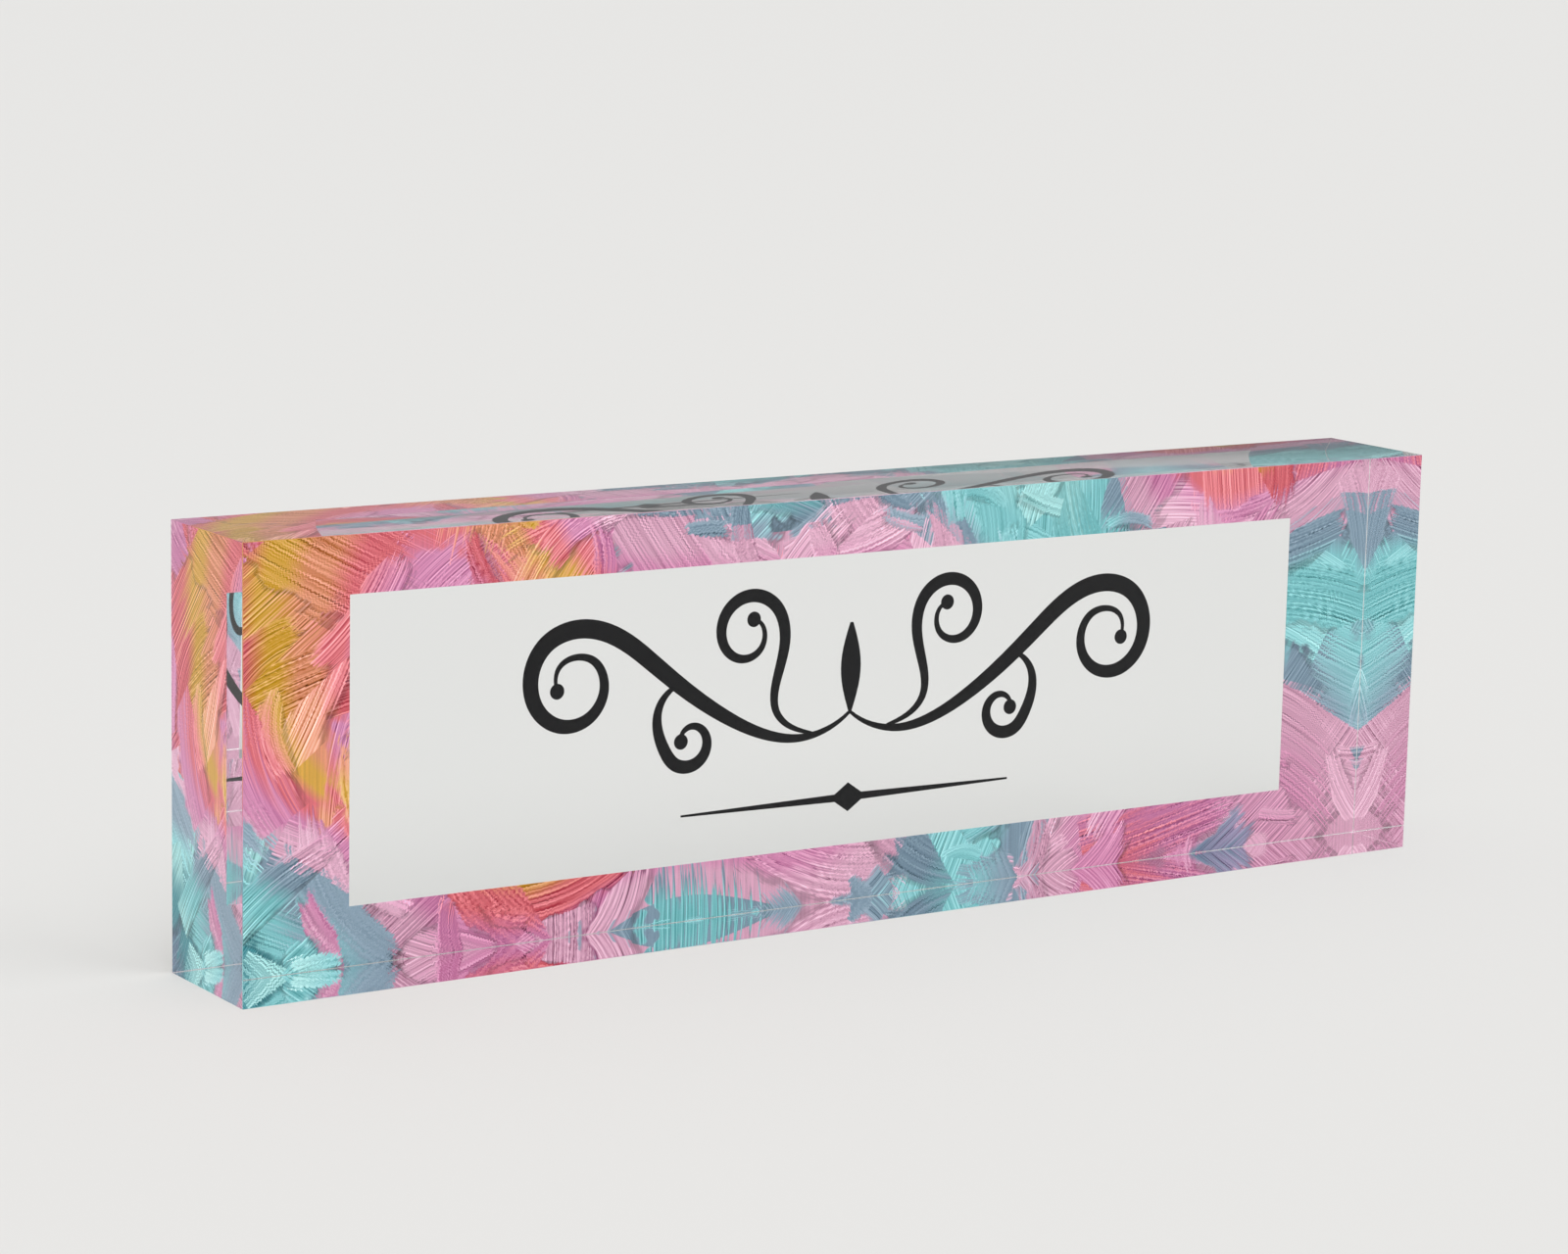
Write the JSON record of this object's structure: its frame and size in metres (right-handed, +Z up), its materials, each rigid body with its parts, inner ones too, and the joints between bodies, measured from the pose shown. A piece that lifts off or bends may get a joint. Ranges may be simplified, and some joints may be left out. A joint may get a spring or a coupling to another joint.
{
  "type": "desk name plate",
  "caption": "Free-standing desk name plate: a clear acrylic block with a printed colour border round a clear window on its rear face, read through the block.",
  "frame": {"origin": "middle of the block's base, on the surface that it stands on", "axes": "+X to the right as the reader sees it, along the plate; +Y away from the reader, towards the printed rear face; +Z up"},
  "size_m": [0.2056, 0.0221, 0.0635],
  "materials": {
    "clear_acrylic": "polished",
    "colour_ink": "satin",
    "white_ink": "satin",
    "black_ink": "satin"
  },
  "bodies": {
    "root": {"acrylic_block": "clear_acrylic", "border_print": "colour_ink", "white_backing": "white_ink", "name_flourish": "black_ink", "title_rule": "black_ink"}
  },
  "joints": []
}
